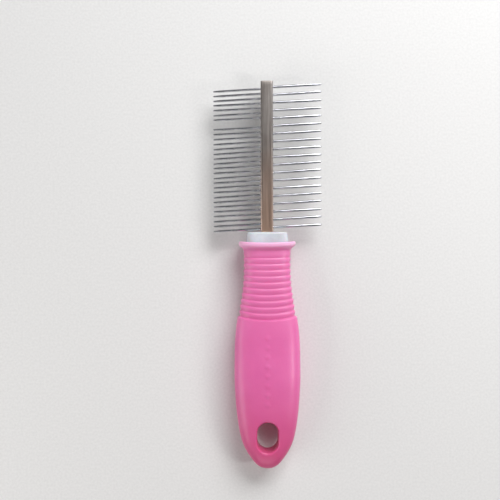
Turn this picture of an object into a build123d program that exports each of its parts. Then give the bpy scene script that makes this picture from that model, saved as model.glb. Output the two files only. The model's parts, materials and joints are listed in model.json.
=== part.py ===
from build123d import *

# Two-sided grooming comb: a steel spine bar with a row of pins on each side, held in a soft-grip handle.
# X runs across the pins (fine row towards -X, coarse row towards +X), Y runs along the comb towards the
# free end of its head, and Z goes through its thickness. The comb lies on its back. The origin is on
# the surface under it, below the middle of its length. All sizes are in millimetres.

import math
import os

# Overall
LENGTH = 182.0
HEAD_END = LENGTH / 2
HANDLE_END = -LENGTH / 2
BELLY_THICKNESS = 17.0
MID_Z = BELLY_THICKNESS / 2

# Spine bar, whose shoulder sits on the collar, and its slimmer tang
SPINE_WIDTH = 5.8
SPINE_THICKNESS = 4.4
SPINE_EDGE_RADIUS = 0.8
SPINE_END_CHAMFER = 0.3
SHOULDER_Y = 20.1
TANG_SIZE = (5.0, 3.6)
TANG_EDGE_RADIUS = 0.5
TANG_END = -24.0
TANG_HOLE_DIAMETER = 2.6
TANG_HOLES_AT = (4.0, -8.0, -18.0)

# Pins. Both rows lean the same way, a little off square to the spine.
PIN_LEAN = 3.2
SOCKET_DEPTH = 2.4
SOCKET_CLEARANCE = 0.01
PIN_TAPER_LENGTH = 3.0
PIN_TIP_SHARE = 0.72

COARSE_COUNT = 19
COARSE_DIAMETER = 1.3
COARSE_FREE_LENGTH = 22.9
COARSE_FIRST_Y = 88.4
COARSE_PITCH = 3.667

FINE_COUNT = 30
FINE_DIAMETER = 1.1
FINE_FREE_LENGTH = 22.4
FINE_FIRST_Y = 87.5
FINE_PITCH = 2.27
EMPTY_FINE_SOCKETS = (8,)

# White core: a collar that shows above the grip, a plug round the tang and a paddle inside the belly
COLLAR_TOP = SHOULDER_Y
COLLAR_TOP_SIZE = (19.1, 10.6)
COLLAR_FOOT_SIZE = (20.5, 11.8)
COLLAR_FOOT = 12.8
COLLAR_EDGE_RADIUS = 0.7
PLUG_SIZE = (16.0, 8.4)
PADDLE_SIZE = (21.0, 8.8)
PADDLE_TOP = -28.0
PADDLE_END = -60.0
CORE_CORNER_SHARE = 0.34
WINDOW_WIDTH = 8.0
WINDOW_LENGTH = 10.0
WINDOWS_AT = (-37.0, -51.0)

# Soft grip: a flared rim, a ribbed neck, a smooth belly and a rounded end with a hang hole
RIM_TOP = 15.8
RIM_SIZE = (26.7, BELLY_THICKNESS)
RIM_LIP = 1.0
RIM_EDGE_RADIUS = 0.6
NECK_TOP = 11.4
SECTION_CORNER_SHARE = 0.42
# Sections of the grip below its rim: place along Y, width, thickness
GRIP_SECTIONS = (
    (NECK_TOP, 22.0, 13.0),
    (0.0, 22.2, 13.0),
    (-8.0, 23.5, 13.5),
    (-16.0, 26.0, 14.6),
    (-24.0, 29.1, 15.9),
    (-34.0, 30.8, 16.8),
    (-47.0, 31.0, BELLY_THICKNESS),
    (-60.0, 29.8, 16.0),
    (-70.0, 27.4, 14.4),
    (-78.0, 24.0, 12.7),
    (-84.0, 18.4, 10.9),
    (-88.0, 12.2, 8.4),
    (-90.2, 7.4, 5.6),
    (HANDLE_END, 3.2, 2.8),
)
# The neck's ribs lie lower than the belly, so that the belly starts with a step after the last groove
NECK_SECTIONS = (
    (NECK_TOP, 22.0, 13.0),
    (0.0, 22.1, 13.0),
    (-8.0, 23.1, 13.2),
    (-16.0, 25.1, 13.9),
    (-24.0, 27.9, 15.0),
)
GROOVE_COUNT = 11
GROOVE_FIRST_Y = 8.6
GROOVE_PITCH = 2.73
GROOVE_WIDTH = 1.3
GROOVE_DEPTH = 0.6
# Each groove hangs down in the middle, the lower ones more
GROOVE_SAG_FIRST = 0.3
GROOVE_SAG_LAST = 1.5
# A cut round the neck reaches this far across, past both of its sides
CUT_WIDTH = 29.0

HANG_HOLE_Y = -75.4
HANG_HOLE_WIDTH = 9.8
HANG_HOLE_LENGTH = 14.3
HANG_HOLE_RIM_RADIUS = 1.2

PIP_COUNT = 8
PIP_FIRST_Y = -29.0
PIP_PITCH = 4.4
PIP_DIAMETER = 3.2
PIP_HEIGHT = 0.3


def across(y):
    """The plane across the comb at one place along it."""
    return Plane(origin=(0, y, MID_Z), x_dir=(1, 0, 0), z_dir=(0, 1, 0))


def rounded_section(y, width, thickness, corner_share):
    """A rounded rectangle across the comb."""
    return across(y) * RectangleRounded(width, thickness, corner_share * thickness)


def rounded_bar(y_low, y_high, size, corner_share):
    """A straight bar of one rounded section along the comb."""
    return extrude(rounded_section(y_low, *size, corner_share), y_high - y_low)


def row(count, first_y, pitch):
    """Where the members of a row sit along the comb, from the head's free end down."""
    return [first_y - pitch * i for i in range(count)]


def pin_place(side, y):
    """Where a pin's axis crosses the side of the spine, turned to run outwards. Side is 1 or -1."""
    turn = PIN_LEAN if side > 0 else 180 + PIN_LEAN
    return Pos(side * SPINE_WIDTH / 2, y, MID_Z) * Rot(0, 0, turn)


def make_pin(diameter, free_length):
    """A pin along +X, crossing the side of the spine at 0, with a slim rounded tip."""
    radius = diameter / 2
    tip = radius * PIN_TIP_SHARE
    taper_start = free_length - PIN_TAPER_LENGTH
    ball = free_length - tip
    arc_mid = (ball + tip * math.cos(math.pi / 4), tip * math.sin(math.pi / 4))
    outline = [
        Line((-SOCKET_DEPTH, 0), (-SOCKET_DEPTH, radius)),
        Line((-SOCKET_DEPTH, radius), (taper_start, radius)),
        Line((taper_start, radius), (ball, tip)),
        ThreePointArc((ball, tip), arc_mid, (free_length, 0)),
        Line((free_length, 0), (-SOCKET_DEPTH, 0)),
    ]
    return revolve(make_face(outline), Axis.X)


def make_socket(diameter):
    """What a pin's socket takes out of the spine: a blind bore along +X, open past the spine's side."""
    from_bottom = (Align.CENTER, Align.CENTER, Align.MIN)
    bore = Cylinder(diameter / 2 + SOCKET_CLEARANCE, SOCKET_DEPTH + 1, align=from_bottom)
    return Pos(-SOCKET_DEPTH, 0, 0) * Rot(0, 90, 0) * bore


def tang_bores(length):
    """The round cross bores that lock the tang into the core."""
    bore = Cylinder(TANG_HOLE_DIAMETER / 2, length)
    return [Pos(0, y, MID_Z) * bore for y in TANG_HOLES_AT]


def make_tang():
    """The slimmer length of the spine inside the handle, a little long so that it joins the bar."""
    section = RectangleRounded(*TANG_SIZE, TANG_EDGE_RADIUS)
    tang = extrude(across(TANG_END) * section, SHOULDER_Y + 1 - TANG_END)
    return chamfer(tang.faces().sort_by(Axis.Y)[0].edges(), SPINE_END_CHAMFER)


def make_spine():
    """One solid bar with rounded long edges, a socket for every pin and a cross-bored tang."""
    section = RectangleRounded(SPINE_WIDTH, SPINE_THICKNESS, SPINE_EDGE_RADIUS)
    bar = extrude(across(SHOULDER_Y) * section, HEAD_END - SHOULDER_Y)
    bar = chamfer(bar.faces().sort_by(Axis.Y)[-1].edges(), SPINE_END_CHAMFER)
    bar = bar + make_tang()
    sockets = [
        pin_place(1, y) * make_socket(COARSE_DIAMETER)
        for y in row(COARSE_COUNT, COARSE_FIRST_Y, COARSE_PITCH)
    ]
    sockets += [
        pin_place(-1, y) * make_socket(FINE_DIAMETER)
        for y in row(FINE_COUNT, FINE_FIRST_Y, FINE_PITCH)
    ]
    return bar - sockets - tang_bores(2 * SPINE_THICKNESS)


def make_core_blank():
    """The core before the spine is taken out of it: collar, plug and paddle, with two windows."""
    collar = loft(
        [
            rounded_section(COLLAR_FOOT, *COLLAR_FOOT_SIZE, CORE_CORNER_SHARE),
            rounded_section(COLLAR_TOP, *COLLAR_TOP_SIZE, CORE_CORNER_SHARE),
        ]
    )
    collar = fillet(collar.faces().sort_by(Axis.Y)[-1].edges(), COLLAR_EDGE_RADIUS)
    plug = rounded_bar(PADDLE_TOP, COLLAR_FOOT, PLUG_SIZE, CORE_CORNER_SHARE)
    paddle = rounded_bar(PADDLE_END, PADDLE_TOP, PADDLE_SIZE, CORE_CORNER_SHARE)
    window = extrude(
        RectangleRounded(WINDOW_WIDTH, WINDOW_LENGTH, WINDOW_WIDTH / 4), MID_Z, both=True
    )
    windows = [Pos(0, y, MID_Z) * window for y in WINDOWS_AT]
    return collar + plug + paddle - windows


def make_core(blank, spine):
    """The core moulded round the tang, filling its cross bores."""
    return blank - spine


def grip_half_thickness(y):
    """Half the grip's thickness at a place below its rim, between the two nearest sections."""
    for (y_high, _, thick_high), (y_low, _, thick_low) in zip(GRIP_SECTIONS, GRIP_SECTIONS[1:]):
        if y_low <= y <= y_high:
            share = (y - y_low) / (y_high - y_low)
            return (thick_low + share * (thick_high - thick_low)) / 2
    raise ValueError(f"no grip section near {y}")


def lofted(sections, inset=0.0):
    """A smooth body through sections given as place, width and thickness, shrunk all round by an inset."""
    outlines = [
        rounded_section(y, width - 2 * inset, thickness - 2 * inset, SECTION_CORNER_SHARE)
        for y, width, thickness in sections
    ]
    return loft(outlines)


def make_rim():
    """The flared rim: it widens in a soft S-shaped curve and ends in a narrow upright lip."""
    _, neck_width, neck_thickness = GRIP_SECTIONS[0]
    rim_width, rim_thickness = RIM_SIZE
    lip_foot = RIM_TOP - RIM_LIP
    sections = []
    for share in (0.0, 0.25, 0.5, 0.75, 1.0):
        spread = share**2 * (3 - 2 * share)
        y = NECK_TOP + share * (lip_foot - NECK_TOP)
        width = neck_width + spread * (rim_width - neck_width)
        thickness = neck_thickness + spread * (rim_thickness - neck_thickness)
        sections.append(rounded_section(y, width, thickness, SECTION_CORNER_SHARE))
    flare = loft(sections)
    lip = rounded_bar(lip_foot, RIM_TOP, RIM_SIZE, SECTION_CORNER_SHARE)
    lip = fillet(lip.faces().sort_by(Axis.Y)[-1].edges(), RIM_EDGE_RADIUS)
    return flare + lip


def make_band(y_high, sag_high, y_low, sag_low):
    """A band through the whole grip between two arcs, each hanging down in its middle by its sag."""
    reach = CUT_WIDTH / 2
    outline = [
        ThreePointArc((-reach, y_low), (0, y_low - sag_low), (reach, y_low)),
        Line((reach, y_low), (reach, y_high)),
        ThreePointArc((reach, y_high), (0, y_high - sag_high), (-reach, y_high)),
        Line((-reach, y_high), (-reach, y_low)),
    ]
    return Pos(0, 0, MID_Z) * extrude(make_face(outline), BELLY_THICKNESS, both=True)


def make_neck_cuts():
    """What is cut from round the neck: first down to its ribs, then each groove."""
    half = GROOVE_WIDTH / 2
    groove_floor = lofted(NECK_SECTIONS, GROOVE_DEPTH)
    places = row(GROOVE_COUNT, GROOVE_FIRST_Y, GROOVE_PITCH)
    whole_neck = make_band(places[0], GROOVE_SAG_FIRST, places[-1] - half, GROOVE_SAG_LAST)
    cuts = [whole_neck - lofted(NECK_SECTIONS)]
    for i, y in enumerate(places):
        sag = GROOVE_SAG_FIRST + (GROOVE_SAG_LAST - GROOVE_SAG_FIRST) * i / (GROOVE_COUNT - 1)
        cuts.append(make_band(y + half, sag, y - half, sag) - groove_floor)
    return cuts


def make_pips():
    """A row of low round pips down the middle of the belly's front."""
    half = PIP_DIAMETER / 2
    ball_radius = (half**2 + PIP_HEIGHT**2) / (2 * PIP_HEIGHT)
    pips = []
    for y in row(PIP_COUNT, PIP_FIRST_Y, PIP_PITCH):
        top = MID_Z + grip_half_thickness(y) + PIP_HEIGHT
        pips.append(Pos(0, y, top - ball_radius) * Sphere(ball_radius))
    return pips


def bore_hang_hole(grip):
    """The grip with its hang hole, a slot with round ends right through it, and both rims rounded."""
    outline = SlotOverall(HANG_HOLE_LENGTH, HANG_HOLE_WIDTH, rotation=90)
    slot = Pos(0, HANG_HOLE_Y, MID_Z) * extrude(outline, BELLY_THICKNESS, both=True)
    bored = grip - slot
    rims = new_edges(grip, slot, combined=bored).filter_by(Axis.Z, reverse=True)
    return fillet(rims, HANG_HOLE_RIM_RADIUS)


def make_grip(core_blank):
    """The soft grip moulded over the core and through its windows."""
    grip = bore_hang_hole(lofted(GRIP_SECTIONS)) + make_rim()
    grip = grip - make_neck_cuts()
    grip = grip + make_pips()
    return grip - core_blank


def build():
    """Every piece of the comb, by name."""
    spine = make_spine()
    core_blank = make_core_blank()
    pieces = {
        "spine_bar": spine,
        "handle_core": make_core(core_blank, spine),
        "grip_sleeve": make_grip(core_blank),
    }
    coarse_pin = make_pin(COARSE_DIAMETER, COARSE_FREE_LENGTH)
    for i, y in enumerate(row(COARSE_COUNT, COARSE_FIRST_Y, COARSE_PITCH), start=1):
        pieces[f"coarse_pin_{i:02d}"] = pin_place(1, y) * coarse_pin
    fine_pin = make_pin(FINE_DIAMETER, FINE_FREE_LENGTH)
    for i, y in enumerate(row(FINE_COUNT, FINE_FIRST_Y, FINE_PITCH), start=1):
        if i not in EMPTY_FINE_SOCKETS:
            pieces[f"fine_pin_{i:02d}"] = pin_place(-1, y) * fine_pin
    return pieces


os.makedirs("parts", exist_ok=True)
for name, piece in build().items():
    export_step(piece, f"parts/{name}.step")
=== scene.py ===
import json
import math
import random

import bmesh
import bpy
import numpy as np
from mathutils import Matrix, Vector


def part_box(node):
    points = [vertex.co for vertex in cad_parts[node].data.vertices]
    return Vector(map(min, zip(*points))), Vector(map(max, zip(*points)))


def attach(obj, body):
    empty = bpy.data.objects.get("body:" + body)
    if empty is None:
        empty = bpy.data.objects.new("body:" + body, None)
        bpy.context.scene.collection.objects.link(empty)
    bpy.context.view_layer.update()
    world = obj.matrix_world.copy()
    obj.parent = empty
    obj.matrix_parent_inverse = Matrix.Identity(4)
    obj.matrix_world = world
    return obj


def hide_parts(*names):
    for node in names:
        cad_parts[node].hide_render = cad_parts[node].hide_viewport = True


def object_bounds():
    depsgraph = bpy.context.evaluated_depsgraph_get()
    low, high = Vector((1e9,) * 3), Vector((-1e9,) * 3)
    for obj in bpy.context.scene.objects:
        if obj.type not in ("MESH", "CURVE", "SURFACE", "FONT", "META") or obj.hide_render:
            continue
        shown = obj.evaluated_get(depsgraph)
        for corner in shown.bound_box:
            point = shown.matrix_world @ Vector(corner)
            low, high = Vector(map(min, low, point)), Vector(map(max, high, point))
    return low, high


# A two-sided steel grooming comb. X runs across the pins, Y along the comb towards the free end of its
# head, Z up out of its front face. Sizes below are in millimetres, and MM turns them into metres.
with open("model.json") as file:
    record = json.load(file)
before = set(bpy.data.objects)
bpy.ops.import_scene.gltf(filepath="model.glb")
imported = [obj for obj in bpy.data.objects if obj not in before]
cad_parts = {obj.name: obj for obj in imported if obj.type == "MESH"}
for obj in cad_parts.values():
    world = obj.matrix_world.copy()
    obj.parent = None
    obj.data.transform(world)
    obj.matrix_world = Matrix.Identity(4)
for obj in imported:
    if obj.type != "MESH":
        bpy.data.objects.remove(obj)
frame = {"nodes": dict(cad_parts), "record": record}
cad_low, cad_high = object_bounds()

MM = 0.001
BODY = "root"

# Pins
PIN_LEAN = math.radians(3.2)
PIN_SIDES = 24
PIN_TIP_SHARE = 0.72
PIN_TAPER = 3.0
PIN_FOOT_BEVEL = 0.1
PIN_FOOT_SHARE = 0.9
SOCKET_DEPTH = 2.4
SOCKET_GAP = 0.01
SOCKET_MOUTH = 0.12
# The spread of the pins' tips off straight, the most spreads that one may stray, and how much shorter
# each pin is to leave room for that
TIP_WANDER = 0.12
WANDER_LIMIT = 1.5
TIP_ROOM = 0.02
PIN_SEED = 41

# Spine, and the slimmer tang below its shoulder
SPINE_EDGE_RADIUS = 0.8
SPINE_END_RADIUS = 0.35
TANG_SIZE = (5.0, 3.6)
TANG_EDGE_RADIUS = 0.5
BAR_SIDES = 96
SPINE_RINGS = 40
# The bar's paler long edges, partly worn steel and partly a painted highlight, start at a share of its
# half width and are full a band later. A painted reflection of warmer tone lies on the steel over a
# length beyond the collar.
EDGE_FROM = 0.72
EDGE_BAND = 0.2
WARM_REFLECTION_LENGTH = 42.0

# Core, with the gaps left between it and the tang, and between the grip and it
COLLAR_FOOT = 12.8
COLLAR_FOOT_SIZE = (20.5, 11.8)
COLLAR_TOP_SIZE = (19.1, 10.6)
COLLAR_EDGE_RADIUS = 0.9
PLUG_SIZE = (16.0, 8.4)
PADDLE_SIZE = (21.0, 8.8)
PADDLE_TOP = -28.0
CORE_CORNER_SHARE = 0.34
CORE_SIDES = 128
TANG_FIT = 0.01
GRIP_FIT = 0.02

# Grip: distance from its rounded end, width, thickness
GRIP_PROFILE = (
    (0.0, 0.0, 0.0),
    (0.9, 7.9, 5.4),
    (2.4, 11.2, 7.6),
    (3.8, 13.1, 8.8),
    (5.4, 15.6, 10.0),
    (7.2, 18.3, 11.0),
    (9.4, 20.7, 11.9),
    (12.6, 23.8, 12.7),
    (16.5, 25.8, 13.5),
    (20.7, 27.4, 14.4),
    (26.4, 28.9, 15.4),
    (32.0, 29.9, 16.1),
    (43.5, 31.0, 17.0),
    (54.6, 30.8, 16.8),
    (62.0, 30.2, 16.3),
    (68.0, 29.0, 15.8),
    (72.0, 27.6, 15.2),
    (77.2, 26.2, 14.6),
    (83.0, 24.2, 13.7),
    (89.0, 22.8, 13.2),
    (95.0, 22.2, 13.0),
    (102.4, 22.0, 13.0),
)
# Power of the grip's rounded sections, points round each, and how far its outline is smoothed along it
GRIP_POWER = 3.0
GRIP_ROUND = 176
PROFILE_BLUR = 1.6
# Its rings: their number over the rounded end's length, then their steps up to the neck and on the neck
END_LENGTH = 9.0
END_RINGS = 30
BELLY_STEP = 0.4
BELLY_LENGTH = 69.0
NECK_STEP = 0.2
NECK_TOP = 11.4
RIM_SIZE = (26.7, 17.0)
# The rim's outline: place along the comb below its top, and share of the way from neck to rim
RIM_OUTLINE = (
    (4.6, 0.0),
    (4.1, 0.05),
    (3.6, 0.15),
    (3.15, 0.32),
    (2.8, 0.49),
    (2.45, 0.67),
    (2.1, 0.83),
    (1.75, 0.94),
    (1.35, 0.99),
    (0.95, 1.0),
    (0.5, 0.98),
    (0.2, 0.91),
    (0.03, 0.78),
    (0.0, 0.5),
)
RIM_RINGS = 44
RIM_SAG = 0.7

# Grooves round the neck. The steep flank of each lies between two shares of the pitch below its place,
# and the last ribs lie lower than the belly by the relief.
GROOVE_COUNT = 11
GROOVE_FIRST_Y = 8.6
GROOVE_PITCH = 2.73
GROOVE_DEPTH = 0.5
GROOVE_SHALLOWEST = 0.45
GROOVE_CURVE = 1.3
GROOVE_STEEP_FROM = 0.12
GROOVE_STEEP_TO = 0.34
GROOVE_SAG_FIRST = 0.3
GROOVE_SAG_LAST = 1.6
RIB_RELIEF = 0.5

PIP_COUNT = 8
PIP_FIRST_Y = -29.0
PIP_PITCH = 4.4
PIP_DIAMETER = 3.2
PIP_HEIGHT = 0.25
PIP_CURVE = 1.5

HOLE_WIDTH = 9.8
HOLE_LENGTH = 14.3
HOLE_RIM_RADIUS = 1.3
HOLE_SIDES = 96
HOLE_RIM_RINGS = 10
# The rim's round ends this far from upright, and past it the hole's cutter clears the surface
HOLE_STEEPEST = math.radians(76)
HOLE_CLEAR = (0.6, 0.35)

# From here the grip's colour is painted paler towards the head as light, and painted deeper towards its
# rounded end as shade, by a share
LIGHT_SHADE_SPLIT_Y = -40.0
END_SHADE_SHARE = 0.95
# The flared rim is palest, with painted light standing for light through its edge, from this far below
# its top
RIM_LIGHT_FULL_BELOW = 1.2
# Points nearer the axis than this share of the neck's half size are inside the grip, not in its grooves,
# and get no painted groove shade
SKIN_FROM = 0.8

FLOOR_HALF_SIZE = 2500.0


# ---------------------------------------------------------------- mesh helpers


def mm_box(node):
    """The lowest and highest corners of a CAD node, in millimetres."""
    low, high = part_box(node)
    return low / MM, high / MM


def mid_level(node):
    """The height of the middle of a CAD node, in millimetres."""
    low, high = mm_box(node)
    return (low.z + high.z) / 2


def mesh_places(made):
    """The x, y and z of an object's points, in millimetres."""
    places = np.empty(len(made.data.vertices) * 3, np.float32)
    made.data.vertices.foreach_get("co", places)
    return places.reshape(-1, 3).T / MM


def write_layers(made, layers):
    """Writes named values for an object's points, for its material to read."""
    for name, values in layers.items():
        layer = made.data.attributes.new(name, "FLOAT", "POINT")
        layer.data.foreach_set("value", values.astype(np.float32))


def new_object(name, points, faces, smooth_angle=None):
    """A mesh object from points in millimetres, with its faces turned outwards."""
    mesh = bpy.data.meshes.new(name)
    mesh.from_pydata([tuple(p) for p in np.asarray(points) * MM], [], faces)
    shell = bmesh.new()
    shell.from_mesh(mesh)
    bmesh.ops.remove_doubles(shell, verts=shell.verts, dist=1e-7)
    bmesh.ops.recalc_face_normals(shell, faces=shell.faces)
    shell.to_mesh(mesh)
    shell.free()
    made = bpy.data.objects.new(name, mesh)
    bpy.context.scene.collection.objects.link(made)
    shade(made, smooth_angle)
    return made


def shade(made, smooth_angle):
    """Smooth shading, with edges sharper than the angle left sharp."""
    mesh = made.data
    mesh.shade_smooth()
    if smooth_angle is not None:
        mesh.set_sharp_from_angle(angle=math.radians(smooth_angle))


def skin(rings, start, end):
    """Points and faces of a closed skin over rings of equal count, closed to a point at each end."""
    count = len(rings[0])
    points = np.vstack([*rings, [start], [end]])
    faces = []
    for r in range(len(rings) - 1):
        low, high = r * count, (r + 1) * count
        for j in range(count):
            k = (j + 1) % count
            faces.append((low + j, low + k, high + k, high + j))
    first, last = len(points) - 2, len(points) - 1
    top = (len(rings) - 1) * count
    for j in range(count):
        k = (j + 1) % count
        faces.append((first, k, j))
        faces.append((last, top + j, top + k))
    return points, faces


def even(outline, count):
    """Count points evenly spaced round a closed outline of (x, z) points."""
    loop = np.vstack([outline, outline[:1]])
    steps = np.hypot(*np.diff(loop, axis=0).T)
    along = np.concatenate([[0.0], np.cumsum(steps)])
    wanted = np.arange(count) / count * along[-1]
    return np.column_stack([np.interp(wanted, along, loop[:, i]) for i in (0, 1)])


def oval(width, thickness, power, count):
    """A rounded section between an ellipse and a rectangle: a higher power is nearer a rectangle."""
    turn = np.linspace(0, 2 * math.pi, 1440, endpoint=False)
    c, s = np.cos(turn), np.sin(turn)
    x = width / 2 * np.sign(c) * np.abs(c) ** (2 / power)
    z = thickness / 2 * np.sign(s) * np.abs(s) ** (2 / power)
    return even(np.column_stack([x, z]), count)


def rounded_rectangle(width, thickness, radius, count):
    """A rectangle with round corners, starting in the middle of its +X side."""
    turn = np.linspace(0, math.pi / 2, 16)
    points = [(width / 2, 0.0)]
    for quarter in range(4):
        side_x = 1 if quarter in (0, 3) else -1
        side_z = 1 if quarter in (0, 1) else -1
        middle = (side_x * (width / 2 - radius), side_z * (thickness / 2 - radius))
        for a in turn + quarter * math.pi / 2:
            points.append((middle[0] + radius * math.cos(a), middle[1] + radius * math.sin(a)))
    return even(np.array(points), count)


def between(first, second, share):
    """A size some share of the way from one size to another."""
    return [a + share * (b - a) for a, b in zip(first, second)]


def soft_step(share):
    """0 to 1 with a soft start and end, as the share goes from 0 to 1."""
    share = np.clip(share, 0, 1)
    return share * share * (3 - 2 * share)


def ring_at(section, y, z_mid):
    """A section set across the comb at one place along it."""
    return np.column_stack([section[:, 0], np.full(len(section), y), section[:, 1] + z_mid])


def smooth_line(points):
    """A function through points in order of x, smooth and with no overshoot between them."""
    xs, ys = (np.array(v, float) for v in zip(*points))
    slopes = np.diff(ys) / np.diff(xs)
    tangents = np.concatenate([[slopes[0]], np.zeros(len(slopes) - 1), [slopes[-1]]])
    for i in range(1, len(slopes)):
        a, b = slopes[i - 1], slopes[i]
        tangents[i] = 2 * a * b / (a + b) if a * b > 0 else 0.0

    def value(x):
        x = np.asarray(x, float)
        i = np.clip(np.searchsorted(xs, x) - 1, 0, len(slopes) - 1)
        h = xs[i + 1] - xs[i]
        t = (x - xs[i]) / h
        return (
            (1 + 2 * t) * (1 - t) ** 2 * ys[i]
            + t * (1 - t) ** 2 * h * tangents[i]
            + t**2 * (3 - 2 * t) * ys[i + 1]
            + t**2 * (t - 1) * h * tangents[i + 1]
        )

    return value


def turned(outline, centre, direction):
    """Rings turned round a line. The outline holds places along it, each with a radius there."""
    across = np.array((-direction.y, direction.x, 0))
    up = np.array((0, 0, 1))
    rings = []
    for place, radius in outline:
        middle = np.array(centre(place))
        turn = np.arange(PIN_SIDES) * 2 * math.pi / PIN_SIDES
        rings.append(middle + radius * (np.outer(np.cos(turn), across) + np.outer(np.sin(turn), up)))
    return rings


def cut_away(made, cutter):
    """Takes the cutter's volume out of an object's mesh and removes the cutter."""
    modifier = made.modifiers.new("cut", "BOOLEAN")
    modifier.operation = "DIFFERENCE"
    modifier.solver = "EXACT"
    modifier.object = cutter
    graph = bpy.context.evaluated_depsgraph_get()
    mesh = bpy.data.meshes.new_from_object(made.evaluated_get(graph))
    made.modifiers.remove(modifier)
    old = made.data
    made.data = mesh
    mesh.name = old.name
    bpy.data.meshes.remove(old)
    bpy.data.objects.remove(cutter)


def keep(made, material, slot, *nodes):
    """Gives a piece its material, and sets it in the place of its CAD nodes."""
    made.data.materials.clear()
    made.data.materials.append(material)
    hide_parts(*nodes)
    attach(made, BODY)


# ---------------------------------------------------------------- node helpers


class Nodes:
    """Builds one material from procedural nodes."""

    def __init__(self, name):
        self.material = bpy.data.materials.new(name)
        self.material.use_nodes = True
        self.tree = self.material.node_tree
        self.shader = self.tree.nodes["Principled BSDF"]
        self.place = self.tree.nodes.new("ShaderNodeTexCoord").outputs["Object"]

    def link(self, source, target):
        self.tree.links.new(source, target)

    def stretched(self, scale):
        """The object's coordinates in metres, multiplied by a scale for each axis."""
        node = self.tree.nodes.new("ShaderNodeMapping")
        node.inputs["Scale"].default_value = scale
        self.link(self.place, node.inputs["Vector"])
        return node.outputs["Vector"]

    def noise(self, scale, detail=3.0, rough=0.5, along=(1.0, 1.0, 1.0)):
        """Noise of some features per metre. A share under 1 for an axis draws it out along that axis."""
        node = self.tree.nodes.new("ShaderNodeTexNoise")
        node.inputs["Scale"].default_value = 1.0
        node.inputs["Detail"].default_value = detail
        node.inputs["Roughness"].default_value = rough
        self.link(self.stretched([scale * share for share in along]), node.inputs["Vector"])
        return node.outputs["Fac"]

    def ranged(self, value, low, high, from_low=0.3, from_high=0.7):
        """A value moved from one range to another."""
        node = self.tree.nodes.new("ShaderNodeMapRange")
        node.inputs["From Min"].default_value = from_low
        node.inputs["From Max"].default_value = from_high
        node.inputs["To Min"].default_value = low
        node.inputs["To Max"].default_value = high
        self.link(value, node.inputs["Value"])
        return node.outputs["Result"]

    def attribute(self, name):
        """The values of one name that were written for the object's points."""
        node = self.tree.nodes.new("ShaderNodeAttribute")
        node.attribute_name = name
        return node.outputs["Fac"]

    def math(self, operation, a, b):
        """One arithmetic step on two values, of which b may be a plain number."""
        node = self.tree.nodes.new("ShaderNodeMath")
        node.operation = operation
        self.link(a, node.inputs[0])
        if isinstance(b, (int, float)):
            node.inputs[1].default_value = b
        else:
            self.link(b, node.inputs[1])
        return node.outputs["Value"]

    def blend(self, share, low, high):
        """A colour between two, each a plain colour or a socket."""
        node = self.tree.nodes.new("ShaderNodeMix")
        node.data_type = "RGBA"
        self.link(share, node.inputs["Factor"])
        for socket, colour in (("A", low), ("B", high)):
            target = [i for i in node.inputs if i.name == socket and i.type == "RGBA"][0]
            if isinstance(colour, tuple):
                target.default_value = colour
            else:
                self.link(colour, target)
        return [o for o in node.outputs if o.type == "RGBA"][0]

    def bump(self, height, depth, normal=None):
        """A bump of a height in metres."""
        node = self.tree.nodes.new("ShaderNodeBump")
        node.inputs["Strength"].default_value = 1.0
        node.inputs["Distance"].default_value = depth
        self.link(height, node.inputs["Height"])
        if normal is not None:
            self.link(normal, node.inputs["Normal"])
        return node.outputs["Normal"]

    def finish(self, colour, roughness, normal, **fixed):
        """Connects the shader. Fixed values are set on its own sockets."""
        self.link(colour, self.shader.inputs["Base Color"])
        self.link(roughness, self.shader.inputs["Roughness"])
        self.link(normal, self.shader.inputs["Normal"])
        for name, value in fixed.items():
            self.shader.inputs[name.replace("_", " ")].default_value = value
        return self.material


def srgb(red, green, blue):
    """A colour of 0 to 255 as the linear colour that a shader takes."""
    parts = [v / 255 for v in (red, green, blue)]
    linear = [v / 12.92 if v <= 0.04045 else ((v + 0.055) / 1.055) ** 2.4 for v in parts]
    return (*linear, 1.0)


# ---------------------------------------------------------------- materials


def pin_steel():
    """Bright drawn wire: faint marks along its length and a little uneven polish."""
    n = Nodes("pin_steel")
    cloud = n.noise(260, detail=4)
    drawn = n.noise(7000, detail=2, rough=0.6, along=(0.015, 1.0, 1.0))
    colour = n.blend(n.ranged(cloud, 0.0, 1.0), srgb(176, 177, 182), srgb(212, 213, 217))
    roughness = n.ranged(n.noise(300, detail=4), 0.07, 0.16)
    normal = n.bump(drawn, 0.000003)
    return n.finish(colour, roughness, normal, Metallic=1.0)


def spine_steel():
    """Satin rolled steel with fine lengthwise marks and faint stains, paler long edges that are partly
    worn and partly a painted highlight, and a painted reflection of warmer tone near the collar.
    """
    n = Nodes("spine_steel")
    streaks = n.noise(5200, detail=5, rough=0.65, along=(1.0, 0.012, 1.0))
    broad = n.noise(900, detail=3, along=(1.0, 0.03, 1.0))
    stains = n.noise(140, detail=5, rough=0.6, along=(1.0, 0.5, 1.0))
    steel = n.blend(n.ranged(streaks, 0.0, 1.0), srgb(150, 143, 138), srgb(190, 183, 178))
    steel = n.blend(n.ranged(stains, 0.0, 0.5), steel, srgb(122, 104, 93))
    # painted reflection of warmer tone on the steel beyond the collar
    steel = n.blend(n.ranged(n.attribute("warm_reflection"), 0.0, 0.8, 0.0, 1.0), steel, srgb(240, 198, 172))
    # paler long edges: partly worn steel, partly a painted highlight, broken up by noise
    worn_edge_and_sheen = n.math("MULTIPLY", n.attribute("edge"), n.ranged(n.noise(500, detail=4), 0.2, 0.7))
    colour = n.blend(worn_edge_and_sheen, steel, srgb(206, 202, 198))
    roughness = n.ranged(n.math("ADD", streaks, broad), 0.28, 0.46, 0.7, 1.3)
    normal = n.bump(streaks, 0.00001)
    return n.finish(colour, roughness, normal, Metallic=1.0)


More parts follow.
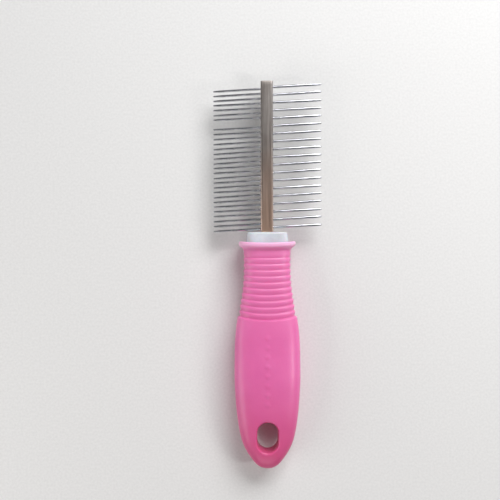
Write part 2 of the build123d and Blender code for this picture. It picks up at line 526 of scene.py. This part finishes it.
def collar_white():
    """Glossy white plastic, a little cloudy, with faint flow marks and fine handling scratches."""
    n = Nodes("collar_white")
    cloud = n.noise(180, detail=4)
    flow = n.noise(420, detail=3, along=(1.0, 0.3, 1.0))
    colour = n.blend(n.ranged(cloud, 0.0, 1.0), srgb(196, 201, 206), srgb(215, 221, 225))
    roughness = n.ranged(n.noise(1600, detail=5, rough=0.7), 0.16, 0.30)
    normal = n.bump(flow, 0.00003)
    fixed = {"Subsurface_Weight": 0.35, "Subsurface_Scale": 0.002, "Coat_Weight": 0.3}
    return n.finish(colour, roughness, normal, **fixed)


def grip_pink():
    """Satin soft-touch elastomer with a fine moulded skin. Painted shade makes it deeper in grooves, on
    the hang hole's wall and towards the rounded end. Painted light makes it paler towards the head and at
    the rim, where the material is thinnest.
    """
    n = Nodes("grip_pink")
    cloud = n.noise(60, detail=4)
    speck = n.noise(2600, detail=3, rough=0.6)
    moulded = n.noise(5200, detail=4, rough=0.6)
    pink = n.blend(n.ranged(cloud, 0.0, 1.0), srgb(222, 98, 162), srgb(232, 112, 174))
    pink = n.blend(n.ranged(speck, 0.0, 0.16), pink, srgb(240, 140, 190))
    # painted light: paler towards the head, where the light falls
    pink = n.blend(n.ranged(n.attribute("pale"), 0.0, 0.5, 0.0, 1.0), pink, srgb(240, 140, 190))
    # painted shade: deeper on the hang hole's wall and towards the rounded end
    pink = n.blend(n.ranged(n.attribute("deep"), 0.0, 0.8, 0.0, 1.0), pink, srgb(206, 70, 118))
    # painted shade in the neck's grooves
    pink = n.blend(n.ranged(n.attribute("groove"), 0.0, 0.3, 0.2, 1.0), pink, srgb(200, 78, 138))
    # painted light over the flared rim, standing for light through its edge
    colour = n.blend(n.ranged(n.attribute("rim_light"), 0.0, 0.85, 0.0, 1.0), pink, srgb(250, 194, 226))
    roughness = n.ranged(n.noise(900, detail=4), 0.32, 0.44)
    normal = n.bump(moulded, 0.00002)
    fixed = {"Subsurface_Weight": 0.3, "Subsurface_Scale": 0.0025, "Coat_Weight": 0.12}
    made = n.finish(colour, roughness, normal, **fixed)
    n.shader.inputs["Subsurface Radius"].default_value = (1.0, 0.35, 0.55)
    n.shader.inputs["Coat Roughness"].default_value = 0.3
    return made


def floor_white():
    """A pale matt studio surface with a faint even grain."""
    n = Nodes("floor_white")
    grain = n.noise(900, detail=4)
    colour = n.blend(n.ranged(grain, 0.0, 1.0), srgb(222, 221, 219), srgb(230, 229, 227))
    roughness = n.ranged(grain, 0.80, 0.92)
    normal = n.bump(grain, 0.00002)
    return n.finish(colour, roughness, normal)


# ---------------------------------------------------------------- pins


def pin_side(node):
    """1 for the coarse row, which points to +X, and -1 for the fine row."""
    return 1 if node.startswith("coarse") else -1


def pin_axis(node):
    """A pin's root on the spine's side, its direction, its free length and its radius."""
    low, high = mm_box(node)
    side = pin_side(node)
    radius = (high.z - low.z) / 2
    direction = Vector((side * math.cos(PIN_LEAN), side * math.sin(PIN_LEAN), 0))
    free = (high.x - low.x - radius * math.sin(PIN_LEAN)) / math.cos(PIN_LEAN) - SOCKET_DEPTH
    spine_low, spine_high = mm_box("spine_bar")
    tip_x = high.x if side > 0 else low.x
    root_x = spine_high.x if side > 0 else spine_low.x
    tip_radius = radius * PIN_TIP_SHARE
    ball_y = high.y - tip_radius if side > 0 else low.y + tip_radius
    tip = Vector((tip_x, ball_y + tip_radius * direction.y, (low.z + high.z) / 2))
    root = tip - direction * abs((tip_x - root_x) / direction.x)
    return root, direction, free - TIP_ROOM, radius


def pin_outline(free, radius):
    """Place along the pin and radius there, from the bottom of its socket to its rounded tip."""
    tip = radius * PIN_TIP_SHARE
    taper_start = free - PIN_TAPER
    ball = free - tip
    outline = [(-SOCKET_DEPTH, radius * PIN_FOOT_SHARE)]
    outline += [(-SOCKET_DEPTH + PIN_FOOT_BEVEL, radius), (0.0, radius)]
    outline += [(s, radius) for s in np.linspace(1.0, taper_start, 16)]
    for share in np.linspace(0, 1, 9)[1:]:
        ease = (soft_step(share) + share) / 2
        outline.append((taper_start + share * (ball - taper_start), radius + ease * (tip - radius)))
    for turn in np.linspace(0, math.pi / 2, 8)[1:-1]:
        outline.append((ball + tip * math.sin(turn), tip * math.cos(turn)))
    return outline


def make_pin(node, wander):
    """One pin, revolved round an axis that wanders off straight by a hair towards its tip."""
    root, direction, free, radius = pin_axis(node)
    aside = Vector((-direction.y, direction.x, 0)) * wander[0] + Vector((0, 0, wander[1]))

    def centre(place):
        return root + direction * place + aside * max(place / free, 0) ** 2

    rings = turned(pin_outline(free, radius), centre, direction)
    points, faces = skin(rings, centre(-SOCKET_DEPTH), centre(free))
    return new_object(node + "_wire", points, faces, smooth_angle=50)


def make_pins(material):
    """Makes both rows of pins, and gives their nodes."""
    chance = random.Random(PIN_SEED)
    nodes = sorted(n for n in frame["nodes"] if "_pin_" in n)
    for node in nodes:
        spreads = [max(-WANDER_LIMIT, min(WANDER_LIMIT, chance.gauss(0, 1))) for _ in range(2)]
        wander = [spread * TIP_WANDER for spread in spreads]
        keep(make_pin(node, wander), material, "pin_steel", node)
    return nodes


# ---------------------------------------------------------------- spine


def socket_outline(radius):
    """Place along a socket's axis and radius there: a blind bore with a slightly broken mouth."""
    bore = radius + SOCKET_GAP
    return (
        (-SOCKET_DEPTH, bore),
        (-SOCKET_MOUTH, bore),
        (0.05, bore + SOCKET_MOUTH),
        (1.0, bore + SOCKET_MOUTH),
    )


def empty_socket(nodes):
    """The root, direction and radius of the fine socket that has no pin: the one gap in the numbers."""
    numbers = [int(n[-2:]) for n in nodes if n.startswith("fine")]
    missing = next(i for i in range(1, max(numbers)) if i not in numbers)
    before, direction, _, radius = pin_axis(f"fine_pin_{missing - 1:02d}")
    after = pin_axis(f"fine_pin_{missing + 1:02d}")[0]
    return (before + after) / 2, direction, radius


def socket_cutter(nodes):
    """One mesh of every socket, to be taken out of the spine."""
    sockets = []
    for node in nodes:
        root, direction, _, radius = pin_axis(node)
        sockets.append((root, direction, radius))
    sockets.append(empty_socket(nodes))
    all_points, all_faces = [], []
    for root, direction, radius in sockets:
        outline = socket_outline(radius)

        def centre(place, root=root, direction=direction):
            return root + direction * place

        rings = turned(outline, centre, direction)
        points, faces = skin(rings, centre(outline[0][0]), centre(outline[-1][0]))
        offset = sum(len(p) for p in all_points)
        all_points.append(points)
        all_faces += [tuple(i + offset for i in face) for face in faces]
    return new_object("socket_cutter", np.vstack(all_points), all_faces)


def make_spine(nodes, material):
    """The spine bar on its slimmer tang: rounded long edges, a rounded end and a socket for every pin."""
    low, high = mm_box("spine_bar")
    shoulder = mm_box("handle_core")[1].y
    z_mid = mid_level("spine_bar")
    bar = (high.x - low.x, high.z - low.z)
    rings = []
    for y in (low.y, shoulder):
        rings.append(ring_at(rounded_rectangle(*TANG_SIZE, TANG_EDGE_RADIUS, BAR_SIDES), y, z_mid))
    for y in np.linspace(shoulder, high.y - SPINE_END_RADIUS, SPINE_RINGS):
        rings.append(ring_at(rounded_rectangle(*bar, SPINE_EDGE_RADIUS, BAR_SIDES), y, z_mid))
    for turn in np.linspace(0, math.pi / 2, 6)[1:]:
        inset = SPINE_END_RADIUS * (1 - math.cos(turn))
        y = high.y - SPINE_END_RADIUS * (1 - math.sin(turn))
        size = [v - 2 * inset for v in bar]
        section = rounded_rectangle(*size, SPINE_EDGE_RADIUS - inset, BAR_SIDES)
        rings.append(ring_at(section, y, z_mid))
    points, faces = skin(rings, (0, low.y, z_mid), (0, high.y, z_mid))
    made = new_object("steel_spine", points, faces)
    cut_away(made, socket_cutter(nodes))
    shade(made, smooth_angle=35)
    mark_spine(made, low, high, shoulder)
    keep(made, material, "spine_steel", "spine_bar")


def mark_spine(made, low, high, collar_y):
    """Writes how near each point is to a long edge of the bar (paler edges, partly worn, partly a painted
    highlight) and to the collar (a painted reflection of warmer tone), from 0 to 1.
    """
    middle, half = (low + high) / 2, (high - low) / 2
    x, y, z = mesh_places(made)
    nearer = np.minimum(np.abs(x - middle.x) / half.x, np.abs(z - middle.z) / half.z)
    # mask of the paler edges, partly worn steel and partly a painted highlight
    edge = np.clip((nearer - EDGE_FROM) / EDGE_BAND, 0, 1)
    # mask of the painted reflection of warmer tone, fading away from the collar
    warm_reflection = np.clip(1 - (y - collar_y) / WARM_REFLECTION_LENGTH, 0, 1)
    write_layers(made, {"edge": edge, "warm_reflection": warm_reflection})


# ---------------------------------------------------------------- core


def make_core(material):
    """The white core: the collar that shows, and the plug and paddle inside the grip."""
    low, high = mm_box("handle_core")
    tang_end = mm_box("spine_bar")[0].y - TANG_FIT
    z_mid = mid_level("handle_core")
    edge = COLLAR_EDGE_RADIUS
    top_corner = CORE_CORNER_SHARE * COLLAR_TOP_SIZE[1]

    def ring(size, y, corner=None):
        corner = CORE_CORNER_SHARE * size[1] if corner is None else corner
        return ring_at(rounded_rectangle(*size, corner, CORE_SIDES), y, z_mid)

    rings = [ring(PADDLE_SIZE, low.y), ring(PADDLE_SIZE, PADDLE_TOP), ring(PLUG_SIZE, PADDLE_TOP)]
    rings += [ring(PLUG_SIZE, COLLAR_FOOT), ring(COLLAR_FOOT_SIZE, COLLAR_FOOT)]
    for share in np.linspace(0, 1, 8)[1:]:
        y = COLLAR_FOOT + share * (high.y - edge - COLLAR_FOOT)
        rings.append(ring(between(COLLAR_FOOT_SIZE, COLLAR_TOP_SIZE, share), y))
    for turn in np.linspace(0, math.pi / 2, 8)[1:]:
        inset = edge * (1 - math.cos(turn))
        size = [v - 2 * inset for v in COLLAR_TOP_SIZE]
        rings.append(ring(size, high.y - edge * (1 - math.sin(turn)), top_corner - inset))
    flat = [v - 2 * edge for v in COLLAR_TOP_SIZE]
    mouth = [v + 2 * TANG_FIT for v in TANG_SIZE]
    for share in (0.25, 0.5, 0.75, 1.0):
        corner = (1 - share) * (top_corner - edge) + share * TANG_EDGE_RADIUS
        rings.append(ring(between(flat, mouth, share), high.y, corner))
    rings.append(ring(mouth, tang_end, TANG_EDGE_RADIUS))
    points, faces = skin(rings, (0, low.y, z_mid), (0, tang_end, z_mid))
    made = new_object("white_core", points, faces, smooth_angle=40)
    keep(made, material, "collar_white", "handle_core")


# ---------------------------------------------------------------- grip


def blurred(values, step, radius):
    """Values at an even step, smoothed over a radius. The start is continued by turning it over."""
    reach = int(3 * radius / step)
    kernel = np.exp(-0.5 * (np.arange(-reach, reach + 1) * step / radius) ** 2)
    kernel /= kernel.sum()
    start = 2 * values[0] - values[1 : reach + 1][::-1]
    end = 2 * values[-1] - values[-reach - 1 : -1][::-1]
    return np.convolve(np.concatenate([start, values, end]), kernel, mode="valid")


def grip_sizes():
    """Functions that give the grip's width and thickness at a distance from its rounded end."""
    step = 0.1
    places = np.arange(0, GRIP_PROFILE[-1][0] + step / 2, step)
    functions = []
    for column in (1, 2):
        squares = smooth_line([(row[0], row[column] ** 2) for row in GRIP_PROFILE])(places)
        soft = blurred(squares, step, PROFILE_BLUR)
        functions.append(lambda d, soft=soft: np.sqrt(np.maximum(np.interp(d, places, soft), 0)))
    return functions


def grip_places(length):
    """Distances of the grip's rings from its rounded end: close at the end and among the grooves."""
    end = [END_LENGTH * (k / END_RINGS) ** 2 for k in range(1, END_RINGS + 1)]
    belly = list(np.arange(END_LENGTH + BELLY_STEP, BELLY_LENGTH, BELLY_STEP))
    neck = list(np.arange(BELLY_LENGTH, length, NECK_STEP))
    return end + belly + neck


def groove_at(x, y, half_width):
    """Depth under the smooth surface at a place on the neck, and how deep in a groove it is from 0 to 1.

    Going down the neck, each groove falls away gently and climbs back steeply, so the ribs' steep
    flanks face the head.
    """
    last = GROOVE_FIRST_Y - (GROOVE_COUNT - 1) * GROOVE_PITCH
    down = np.clip((GROOVE_FIRST_Y - y) / (GROOVE_FIRST_Y - last), 0, 1)
    sag = GROOVE_SAG_FIRST + (GROOVE_SAG_LAST - GROOVE_SAG_FIRST) * down
    level = y + sag * (1 - (x / half_width) ** 2)
    phase = (GROOVE_FIRST_Y - level) / GROOVE_PITCH
    steep = GROOVE_STEEP_TO - GROOVE_STEEP_FROM
    turn = (phase - GROOVE_STEEP_TO) % 1.0
    gentle = soft_step(turn / (1 - steep)) ** GROOVE_CURVE
    climb = 1 - soft_step((turn - (1 - steep)) / steep)
    inside = (phase > GROOVE_STEEP_TO - 1) & (phase < GROOVE_COUNT - 1 + GROOVE_STEEP_TO)
    wave = np.where(inside, gentle * climb, 0.0)
    ease = np.clip(phase / (GROOVE_COUNT - 1), 0, 1)
    after = soft_step((phase - (GROOVE_COUNT - 1) - GROOVE_STEEP_FROM) / steep)
    relief = RIB_RELIEF * ease * (1 - after)
    growth = GROOVE_SHALLOWEST + (1 - GROOVE_SHALLOWEST) * np.sqrt(ease)
    return GROOVE_DEPTH * growth * wave + relief, wave


def pip_at(x, y):
    """Height of the row of pips over the smooth surface."""
    height = np.zeros_like(x)
    for i in range(PIP_COUNT):
        away = np.hypot(x, y - (PIP_FIRST_Y - i * PIP_PITCH)) / (PIP_DIAMETER / 2)
        height += PIP_HEIGHT * (1 - np.minimum(away, 1) ** 2) ** PIP_CURVE
    return height


def outward(section, power):
    """Unit normals of an oval section at its points."""
    half = np.abs(section).max(axis=0)
    slope = np.sign(section) * np.abs(section / half) ** (power - 1) / half
    return slope / np.linalg.norm(slope, axis=1, keepdims=True)


def grip_outer_rings(end_y, z_mid):
    """The grip's outside from its rounded end up to the foot of its rim."""
    width_at, thickness_at = grip_sizes()
    length = NECK_TOP - end_y
    rings = []
    for d in grip_places(length):
        width, thickness = float(width_at(d)), float(thickness_at(d))
        section = oval(width, thickness, GRIP_POWER, GRIP_ROUND)
        normals = outward(section, GRIP_POWER)
        y = end_y + d
        x = section[:, 0]
        depth, _ = groove_at(x, y, width / 2)
        front = np.clip(normals[:, 1], 0, 1)
        height = pip_at(x, y) * (front > 0.5) - depth
        rings.append(ring_at(section + normals * height[:, None], y, z_mid))
    return rings


def grip_rim_rings(top_y, z_mid):
    """The flared rim, from its foot over its lip to its flat top."""
    foot = RIM_OUTLINE[0][0]
    steps = np.linspace(0, len(RIM_OUTLINE) - 1, RIM_RINGS + 1)[1:]
    below, share = (smooth_line(list(enumerate(column)))(steps) for column in zip(*RIM_OUTLINE))
    rings = []
    for b, s in zip(below, share):
        width, thickness = between(GRIP_PROFILE[-1][1:], RIM_SIZE, s)
        ring = ring_at(oval(width, thickness, GRIP_POWER, GRIP_ROUND), top_y - b, z_mid)
        ring[:, 1] -= rim_sag(ring[:, 0]) * min(1.0, 2 * (1 - b / foot))
        rings.append(ring)
    return rings


def rim_sag(x):
    """How far the rim hangs down at a place across it: most in the middle of its front and back."""
    return RIM_SAG * (1 - np.clip(np.abs(x) / (RIM_SIZE[0] / 2), 0, 1) ** 2)


def grip_cavity_rings(top_y, z_mid):
    """The inside of the grip, round the core."""
    core_low, core_high = mm_box("handle_core")
    share = (top_y - COLLAR_FOOT) / (core_high.y - COLLAR_FOOT)
    mouth = between(COLLAR_FOOT_SIZE, COLLAR_TOP_SIZE, share)
    walls = [(mouth, top_y), (COLLAR_FOOT_SIZE, COLLAR_FOOT), (PLUG_SIZE, COLLAR_FOOT)]
    walls += [(PLUG_SIZE, PADDLE_TOP), (PADDLE_SIZE, PADDLE_TOP), (PADDLE_SIZE, core_low.y)]
    rings = []
    for size, y in walls:
        loose = [v + 2 * GRIP_FIT for v in size]
        corner = CORE_CORNER_SHARE * size[1]
        rings.append(ring_at(rounded_rectangle(*loose, corner, GRIP_ROUND), y - GRIP_FIT, z_mid))
    rings[0][:, 1] = top_y - rim_sag(rings[0][:, 0])
    return rings


def hole_cutter(centre, z_mid, end_y):
    """The hang hole's shape: a slot with round ends that flares out to soft rims at both faces."""
    _, thickness_at = grip_sizes()
    radius = HOLE_WIDTH / 2
    straight = HOLE_LENGTH / 2 - radius
    turn = np.linspace(0, 2 * math.pi, HOLE_SIDES, endpoint=False)
    base = np.column_stack([np.cos(turn), np.sin(turn)])

    def loop(offset):
        points = base * (radius + offset)
        points[:, 1] += np.where(base[:, 1] >= 0, straight, -straight)
        return points

    def level(points):
        """Half the grip's thickness under each point of a loop."""
        return thickness_at(centre.y + points[:, 1] - end_y) / 2

    rings = []
    for side in (-1, 1):
        flare = []
        for tilt in np.linspace(0, HOLE_STEEPEST, HOLE_RIM_RINGS):
            points = loop(HOLE_RIM_RADIUS * (1 - math.cos(tilt)))
            flare.append((points, level(points) - HOLE_RIM_RADIUS * (1 - math.sin(tilt))))
        points = loop(HOLE_RIM_RADIUS * (1 - math.cos(HOLE_STEEPEST)) + HOLE_CLEAR[0])
        flare.append((points, flare[-1][1] + HOLE_CLEAR[1]))
        flare.append((points, np.full(len(points), flare[-1][1].max() + 1.0)))
        made = [
            np.column_stack([centre.x + p[:, 0], centre.y + p[:, 1], z_mid + side * z])
            for p, z in flare
        ]
        rings += made[::-1] if side < 0 else made
    points, faces = skin(rings, rings[0].mean(axis=0), rings[-1].mean(axis=0))
    return new_object("hole_cutter", points, faces)


def make_grip(material):
    """The soft grip: ribbed neck, smooth belly, flared rim, hollow for the core and hang hole."""
    low, high = mm_box("grip_sleeve")
    core_end = mm_box("handle_core")[0].y
    z_mid = mid_level("handle_core")
    hang = next(m for m in frame["record"]["mounts"] if m["name"] == "hang_hole")
    hole = Vector(hang["pos_m"]) / MM
    rings = grip_outer_rings(low.y, z_mid)
    rings += grip_rim_rings(high.y, z_mid)
    rings += grip_cavity_rings(high.y, z_mid)
    points, faces = skin(rings, (0, low.y, z_mid), (0, core_end - GRIP_FIT, z_mid))
    made = new_object("pink_grip", points, faces)
    cut_away(made, hole_cutter(hole, z_mid, low.y))
    shade(made, smooth_angle=45)
    mark_grip(made, low.y, high.y, z_mid, hole)
    keep(made, material, "grip_pink", "grip_sleeve")


def mark_grip(made, end_y, top_y, z_mid, hole):
    """Writes the grip's painted light and shade at each point, all from 0 to 1: shade in the grooves, on
    the hang hole's wall and towards the rounded end, and light towards the head and over the flared rim.
    """
    width_at, _ = grip_sizes()
    x, y, z = mesh_places(made)
    half = np.maximum(width_at(np.clip(y - end_y, 1, None)) / 2, 1)
    # groove is the mask of the painted shade in the neck's grooves
    _, groove = groove_at(x, y, half)
    _, neck_width, neck_thickness = GRIP_PROFILE[-1]
    from_axis = np.hypot(x / neck_width, (z - z_mid) / neck_thickness) * 2
    groove[(y > NECK_TOP) | (from_axis < SKIN_FROM)] = 0
    # mask of the painted light over the flared rim
    rim_light = soft_step((y - NECK_TOP) / (top_y - NECK_TOP - RIM_LIGHT_FULL_BELOW))
    straight = (HOLE_LENGTH - HOLE_WIDTH) / 2
    past = np.maximum(np.abs(y - hole.y) - straight, 0)
    from_wall = np.hypot(x - hole.x, past) - HOLE_WIDTH / 2
    # painted shade on the hang hole's wall
    hole_wall_shade = 1 - soft_step(from_wall / HOLE_RIM_RADIUS)
    # painted shade towards the rounded end
    end_shade = END_SHADE_SHARE * soft_step((LIGHT_SHADE_SPLIT_Y - y) / (LIGHT_SHADE_SPLIT_Y - end_y))
    # deep holds all the painted shade, on the hole's wall and towards the rounded end
    deep = np.maximum(hole_wall_shade, end_shade)
    # pale is the mask of the painted light towards the head
    pale = soft_step((y - LIGHT_SHADE_SPLIT_Y) / (NECK_TOP - LIGHT_SHADE_SPLIT_Y))
    write_layers(made, {"groove": groove, "rim_light": rim_light, "pale": pale, "deep": deep})


# ---------------------------------------------------------------- studio


def make_floor():
    """A pale floor that the comb lies on."""
    corners = [(-1, -1, 0), (1, -1, 0), (1, 1, 0), (-1, 1, 0)]
    made = new_object("floor", np.array(corners) * FLOOR_HALF_SIZE, [(0, 1, 2, 3)])
    if made.data.polygons[0].normal.z < 0:
        made.data.flip_normals()
    made.location.z = cad_low.z
    made.data.materials.append(floor_white())


def make_light(name, place, target, size, power, colour):
    """A soft rectangular studio light aimed at a point. Places are in millimetres."""
    data = bpy.data.lights.new(name, "AREA")
    data.shape = "RECTANGLE"
    data.size, data.size_y = (v * MM for v in size)
    data.energy = power
    data.color = colour
    made = bpy.data.objects.new(name, data)
    bpy.context.scene.collection.objects.link(made)
    made.location = Vector(place) * MM
    aim = Vector(target) * MM - made.location
    made.rotation_euler = aim.to_track_quat("-Z", "Y").to_euler()


def make_lights():
    """A broad key beyond the head, a panel for the coarse pins, low lights round the grip, a dim room."""
    make_light("key", (264, 500, 440), (20, 20, 8), (500, 320), 5.0, (0.97, 0.98, 1.0))
    make_light("pin_panel", (72, 440, 500), (14, 50, 8), (160, 120), 0.28, (1.0, 1.0, 1.0))
    make_light("left_strip", (-330, -260, 280), (0, -70, 8), (200, 40), 0.24, (1.0, 0.98, 0.97))
    make_light("left_fill", (-430, -120, 180), (0, -60, 8), (280, 260), 0.62, (1.0, 0.98, 0.97))
    make_light("right_strip", (380, -100, 320), (0, -40, 8), (34, 130), 0.45, (1.0, 0.98, 0.97))
    make_light("foot_panel", (-40, -460, 220), (0, -80, 8), (220, 120), 0.25, (1.0, 0.96, 0.95))
    world = bpy.data.worlds.new("room")
    world.use_nodes = True
    background = world.node_tree.nodes["Background"]
    background.inputs["Color"].default_value = (0.82, 0.825, 0.84, 1.0)
    background.inputs["Strength"].default_value = 0.2
    bpy.context.scene.world = world


# Camera: its height over the middle of the core, the millimetres that the picture takes in across
# there, the point below it, its turn in degrees, and its sensor's width
CAMERA_HEIGHT = 345.0
VIEW_ACROSS = 235.5
VIEW_CENTRE = (-8.05, 11.7)
CAMERA_TURN = -0.15
SENSOR = 36.0


def make_camera():
    """A camera that looks straight down on the comb's front."""
    data = bpy.data.cameras.new("camera")
    data.sensor_width = SENSOR
    data.lens = SENSOR * CAMERA_HEIGHT / VIEW_ACROSS
    data.clip_start = 0.01
    data.clip_end = 10
    made = bpy.data.objects.new("camera", data)
    bpy.context.scene.collection.objects.link(made)
    made.location = Vector((*VIEW_CENTRE, mid_level("handle_core") + CAMERA_HEIGHT)) * MM
    made.rotation_euler = (0, 0, math.radians(CAMERA_TURN))
    bpy.context.scene.camera = made


# ---------------------------------------------------------------- the comb

make_camera()
make_lights()
make_floor()
pin_nodes = make_pins(pin_steel())
make_spine(pin_nodes, spine_steel())
make_core(collar_white())
make_grip(grip_pink())
bpy.context.scene.view_settings.view_transform = "Standard"
